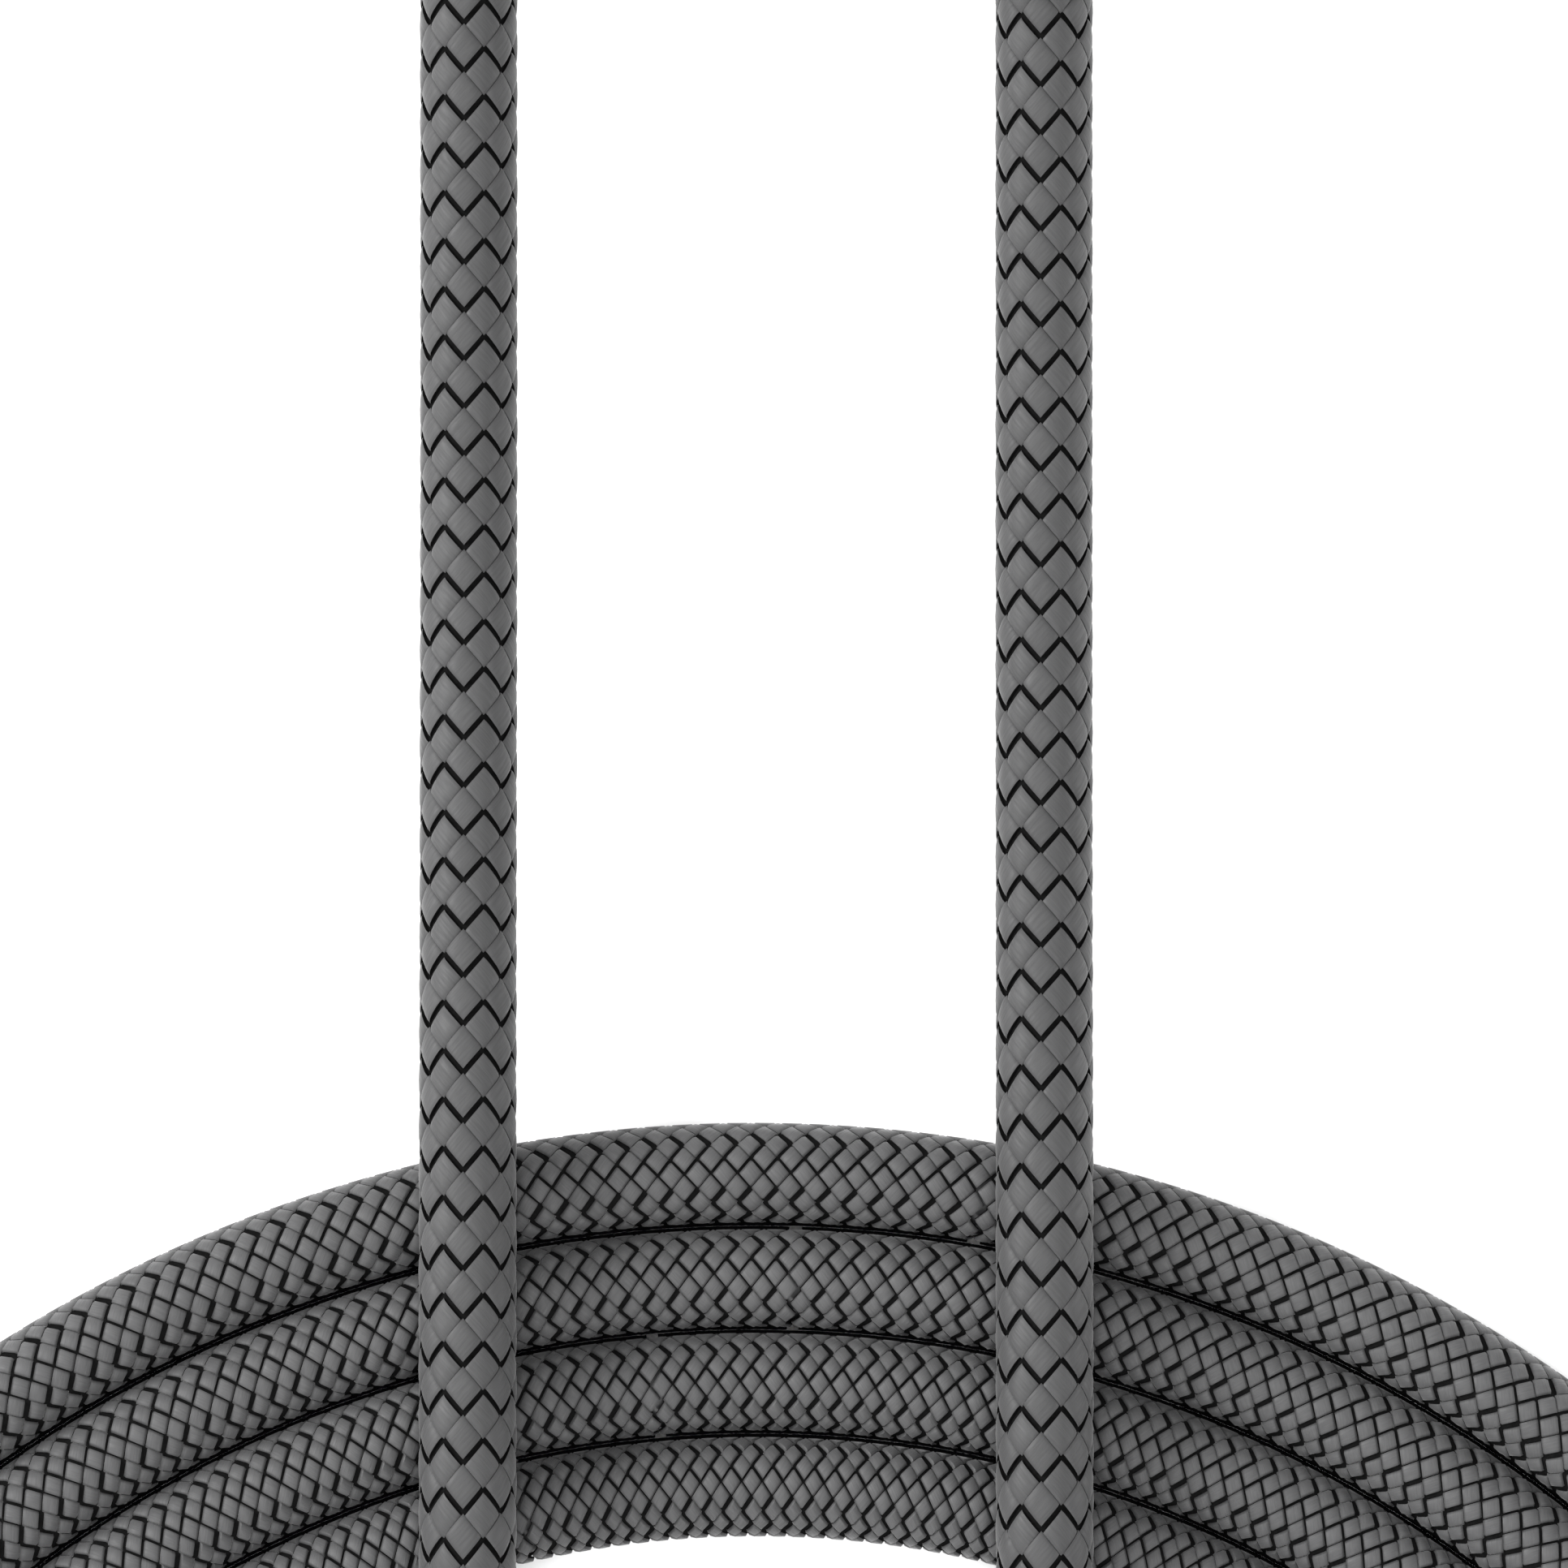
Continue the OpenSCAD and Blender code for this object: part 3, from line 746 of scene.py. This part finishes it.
# %% Brushed group
brushed, given, out = new_group(
    "rolled_streaks", {"Scale": 2500.0, "Smooth": 0.14, "Rough": 0.3},
    {"Roughness": "Float", "Height": "Float"})
where = brushed.add("TexCoord").outputs["Object"]
drawn = brushed.add("Mapping", None, Vector=where, Scale=(1, 0.03, 1)).outputs[0]
lines = brushed.add("TexNoise", None, Vector=drawn, Scale=given["Scale"], Detail=3.0).outputs["Fac"]
brushed.put(out["Roughness"], brushed.remap(lines, 0.3, 0.7, given["Smooth"], given["Rough"]))
brushed.put(out["Height"], lines)
print("shared effects:", ", ".join(group.name for group in bpy.data.node_groups))


# %% [markdown]
# ## Materials
# Every material is a Principled shader with its own constants, fed by the groups above. What is
# the same all over, such as sheen or coat, is set on the shader itself.

# %% Start a material
def material(name, **constants):
    made = bpy.data.materials.new(name)
    made.use_nodes = True
    tree = Tree(made.node_tree)
    shader = made.node_tree.nodes["Principled BSDF"]
    for key, value in constants.items():
        shader.inputs[key.replace("_", " ")].default_value = value
    return made, tree, shader.inputs


def use(tree, group, **sockets):
    node = tree.add("Group", {"node_tree": group.tree})
    for key, value in sockets.items():
        tree.put(node.inputs[key], value)
    return node.outputs


def relief(tree, shader, height, depth, strength=1.0):
    bump = tree.add("Bump", None, Height=height, Strength=strength, Distance=depth * mm)
    tree.put(shader["Normal"], bump.outputs[0])


# %% [markdown]
# ### Yarn
# The yarn is dark grey with a soft sheen, as matt polyester has. The finer yarn of the ring sinks
# deeper between its crossings, and its colour is mixed strongly towards near-black where it dips,
# a painted shade at its edges; on the leads this painted shade is faint.

# %% Braid materials
def yarn_material(name, yarn, shade, fineness, edge_shade):
    made, tree, shader = material(name, Sheen_Weight=0.12, Sheen_Roughness=0.4, Specular_IOR_Level=0.3)
    thread = use(tree, filaments, Yarn=yarn, Shade=shade, Fineness=fineness, Sunk=edge_shade)
    tree.put(shader["Base Color"], thread["Color"])
    tree.put(shader["Roughness"], thread["Roughness"])
    relief(tree, shader, thread["Height"], 0.02, 0.6)
    return made


# The ring's yarn is set lighter than the leads' yarn: a painted difference in light, standing in for the
# ring being lit more brightly than the leads.
coarse_yarn = yarn_material(
    "coarse_yarn", (0.0396, 0.0396, 0.0403, 1), (0.028, 0.028, 0.0286, 1), 9.0, 0.15)
fine_yarn = yarn_material(
    "fine_yarn", (0.064, 0.064, 0.065, 1), (0.043, 0.043, 0.044, 1), 12.0, 0.9)
print("yarns:", coarse_yarn.name, fine_yarn.name)

# %% [markdown]
# Between the yarns the tube is almost black, with no shine at all, and both kinds of braid share it.
# Its near-black is painted shade, darker than the jacket under it, so that the gaps read as deep shadow.

# %% The painted shade between the yarns
between, tree, shader = material("between_yarns_painted_shade", Specular_IOR_Level=0.0)
pitted = use(tree, grain, Scale=4000.0, Smooth=0.8, Rough=0.95)
tree.put(shader["Roughness"], pitted["Roughness"])
# Painted shade: the tube and the open skirts get these near-black colours.
darkest, dark = (0.002, 0.002, 0.002, 1), (0.007, 0.007, 0.007, 1)
tree.put(shader["Base Color"], tree.mix(pitted["Height"], darkest, dark))

for piece in [braid_a, braid_c] + braid_ring:
    piece.data.materials.append(coarse_yarn if piece in (braid_a, braid_c) else fine_yarn)
    piece.data.materials.append(between)
print("materials of a braid:", ", ".join(place.name for place in braid_a.data.materials))

# %% [markdown]
# ### Plastics, rubber and insulation
# These all have a moulded grain and wear a little paler at their edges. One function makes them
# from a colour, a grain size and how shiny they are.

# %% Moulded materials
def moulded(name, color, worn, grain_scale, shine, depth=0.01, **constants):
    """color and worn are red, green and blue; shine is the roughness where it is smooth and dull."""
    made, tree, shader = material(name, **constants)
    rubbed = use(tree, wear, Finish=(*color, 1), Bare=(*worn, 1), Amount=0.35)
    tree.put(shader["Base Color"], rubbed["Color"])
    cast = use(tree, grain, Scale=grain_scale, Smooth=shine[0], Rough=shine[1])
    tree.put(shader["Roughness"], cast["Roughness"])
    relief(tree, shader, cast["Height"], depth)
    return made


satin, wire_shine = (0.35, 0.5), (0.25, 0.4)
finishes = {
    "jacket": moulded(
        "jacket_rubber", (0.016, 0.016, 0.017), (0.05, 0.05, 0.05), 5000.0, (0.5, 0.7)),
    "black_plastic": moulded(
        "black_plastic", (0.014, 0.014, 0.015), (0.09, 0.09, 0.09), 8000.0, satin),
    "relief_rubber": moulded(
        "relief_rubber", (0.02, 0.02, 0.021), (0.07, 0.07, 0.07), 6000.0, (0.55, 0.75), 0.015,
        Sheen_Weight=0.08, Sheen_Roughness=0.5),
    "ivory_plastic": moulded(
        "ivory_plastic", (0.74, 0.73, 0.68), (0.85, 0.85, 0.82), 7000.0, satin,
        Subsurface_Weight=0.05, Subsurface_Scale=0.001),
    "board_green": moulded(
        "solder_mask", (0.012, 0.10, 0.045), (0.20, 0.16, 0.06), 12000.0, (0.2, 0.35), 0.004,
        Coat_Weight=0.4),
    "wire_red": moulded(
        "red_insulation", (0.42, 0.02, 0.015), (0.6, 0.2, 0.18), 3000.0, wire_shine),
    "wire_white": moulded(
        "white_insulation", (0.75, 0.75, 0.74), (0.85, 0.85, 0.85), 3000.0, wire_shine),
    "wire_green": moulded(
        "green_insulation", (0.02, 0.25, 0.06), (0.2, 0.5, 0.25), 3000.0, wire_shine),
    "wire_black": moulded(
        "black_insulation", (0.012, 0.012, 0.012), (0.08, 0.08, 0.08), 3000.0, wire_shine),
}
print("moulded finishes:", len(finishes))

# %% [markdown]
# ### Metals
# The housings are aluminium, blasted with fine beads and anodised dark grey: the grain is in the
# metal, and the dye wears to bright metal on the edges. The shells and springs are nickel-plated
# sheet with rolling streaks. Contacts are gold-flashed, and the crimp ferrules are bare copper.

# %% Metal materials
def metal(name, color, worn, amount, texture):
    """texture is the group that roughens it, its scale, its two roughnesses and its depth."""
    made, tree, shader = material(name, Metallic=1.0)
    rubbed = use(tree, wear, Finish=(*color, 1), Bare=(*worn, 1), Amount=amount)
    tree.put(shader["Base Color"], rubbed["Color"])
    group, scale, smooth, rough, depth = texture
    surface = use(tree, group, Scale=scale, Smooth=smooth, Rough=rough)
    tree.put(shader["Roughness"], surface["Roughness"])
    relief(tree, shader, surface["Height"], depth)
    return made


finishes.update({
    "anodised": metal(
        "anodised_aluminium", (0.085, 0.088, 0.095), (0.5, 0.5, 0.51), 0.05,
        (grain, 14000.0, 0.36, 0.41, 0.006)),
    "nickel": metal(
        "nickel_plate", (0.45, 0.44, 0.42), (0.6, 0.59, 0.57), 0.4,
        (brushed, 2500.0, 0.16, 0.32, 0.002)),
    "gold": metal(
        "gold_flash", (0.83, 0.58, 0.22), (0.7, 0.62, 0.5), 0.2,
        (brushed, 6000.0, 0.15, 0.28, 0.001)),
    "copper": metal(
        "bare_copper", (0.72, 0.36, 0.22), (0.85, 0.5, 0.35), 0.4,
        (brushed, 3000.0, 0.25, 0.45, 0.003)),
})
jacket.data.materials.append(finishes["jacket"])
print("finishes:", ", ".join(sorted(finishes)))

# %% [markdown]
# ## Pieces of the plugs
# The measured model gives every piece of the plugs its true shape, but with knife-sharp edges.
# Real edges are rolled, broken or radiused by a few tenths of a millimetre, and it is these small
# rounds that catch the light. So the pieces that show are copied, their flat faces are joined up
# again, and every sharp edge gets a small round. The pieces inside keep the measured mesh.

# %% Round the edges of the pieces that show
slot_of = {part["node"]: part["material_slot"] for part in frame["record"]["subparts"]}
flat_within, sharp_from, smooth_up_to = (math.radians(x) for x in (0.8, 32, 40))
body_of = {node: body for body, nodes in frame["record"]["behaviour"]["bodies"].items() for node in nodes}


def eased(node, width):
    """A copy of a node with its sharp edges rounded, which stands in for it."""
    shape = bmesh.new()
    shape.from_mesh(frame["nodes"][node].data)
    bmesh.ops.remove_doubles(shape, verts=shape.verts, dist=0.002 * mm)
    bmesh.ops.dissolve_limit(shape, angle_limit=flat_within, verts=shape.verts, edges=shape.edges)
    sharp = [e for e in shape.edges if len(e.link_faces) == 2 and e.calc_face_angle() > sharp_from]
    bmesh.ops.bevel(shape, geom=sharp, offset=width * mm, segments=3, profile=0.5,
                    affect="EDGES", clamp_overlap=True)
    mesh = bpy.data.meshes.new(node + "_shown")
    shape.to_mesh(mesh)
    shape.free()
    mesh.polygons.foreach_set("use_smooth", np.ones(len(mesh.polygons), bool))
    mesh.set_sharp_from_angle(angle=smooth_up_to)
    piece = bpy.data.objects.new(node + "_shown", mesh)
    scene.collection.objects.link(piece)
    mesh.materials.append(finishes[slot_of[node]])
    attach(piece, body_of[node])
    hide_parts(node)
    return piece


# %% [markdown]
# The widths of the rounds are in millimetres: more on the aluminium sleeves, and hardly any on the
# sheet metal of the shells.

# %% Round them, and give the others their finish
edge_rounds = {
    "a_sleeve": 0.22, "a_bezel": 0.12, "a_collar": 0.12, "a_relief": 0.12, "a_shell": 0.06,
    "a_contact_block": 0.06, "c_sleeve": 0.2, "c_bezel": 0.1, "c_collar": 0.1, "c_relief": 0.12,
    "c_shell": 0.05,
}
for node, width in edge_rounds.items():
    eased(node, width)

for node, measured in frame["nodes"].items():
    if slot_of[node] != "braid" and node not in edge_rounds:
        for place in measured.material_slots:
            place.material = finishes[slot_of[node]]
print("rounded", len(edge_rounds), "pieces of the plugs")

# %% [markdown]
# ## Floor and light
# The cable lies on a plain white floor under very even light, so that nothing but the braid is
# dark. One large soft light hangs overhead and opens up the weave on the ring. A stronger one from
# the left gives the leads a light and a dark side, a low one from the right gives them a rim, and
# two from the front and the back light the sides of the turns. The bright air fills what is left.

# %% Floor
half, below = 3, -0.0002  # metres; the floor lies a hair below the cable
floor_mesh = bpy.data.meshes.new("floor")
corners = [(-half, -half, below), (half, -half, below), (half, half, below), (-half, half, below)]
floor_mesh.from_pydata(corners, [], [(0, 1, 2, 3)])
floor = bpy.data.objects.new("floor", floor_mesh)
scene.collection.objects.link(floor)
white, tree, shader = material("white_floor", Roughness=0.9, Specular_IOR_Level=0.1,
                               Base_Color=(0.92, 0.92, 0.92, 1))
floor_mesh.materials.append(white)
print("floor", 2 * half, "m wide")

# %% [markdown]
# Each light is a square panel that looks at the middle of the view. The camera doesn't see it.

# %% Lights
def soft_light(name, toward, away, size, watts):
    """A square light that shines on the middle of the view from a direction, so far away."""
    data = bpy.data.lights.new(name, "AREA")
    data.size = size
    data.energy = watts
    lamp = bpy.data.objects.new(name, data)
    scene.collection.objects.link(lamp)
    direction = mathutils.Vector(toward).normalized()
    lamp.location = mathutils.Vector((camera.location[0], camera.location[1], 0)) + direction * away
    lamp.rotation_euler = direction.to_track_quat("Z", "Y").to_euler()
    lamp.visible_camera = False


soft_light("overhead", (0, 0, 1), 1.4, 0.8, 13)
soft_light("from_left", (-1, 0.3, 0.6), 1.2, 0.5, 24)
soft_light("from_right", (1, 0, 0.12), 1.2, 0.4, 7)
soft_light("from_front", (0, -1, 0.6), 1.2, 0.6, 11)
soft_light("from_back", (0, 1, 0.6), 1.2, 0.6, 5)

air = bpy.data.worlds.new("air")
air.use_nodes = True
sky = air.node_tree.nodes["Background"]
sky.inputs["Color"].default_value = (1, 1, 1, 1)
sky.inputs["Strength"].default_value = 0.8
scene.world = air
scene.view_settings.view_transform = "Standard"
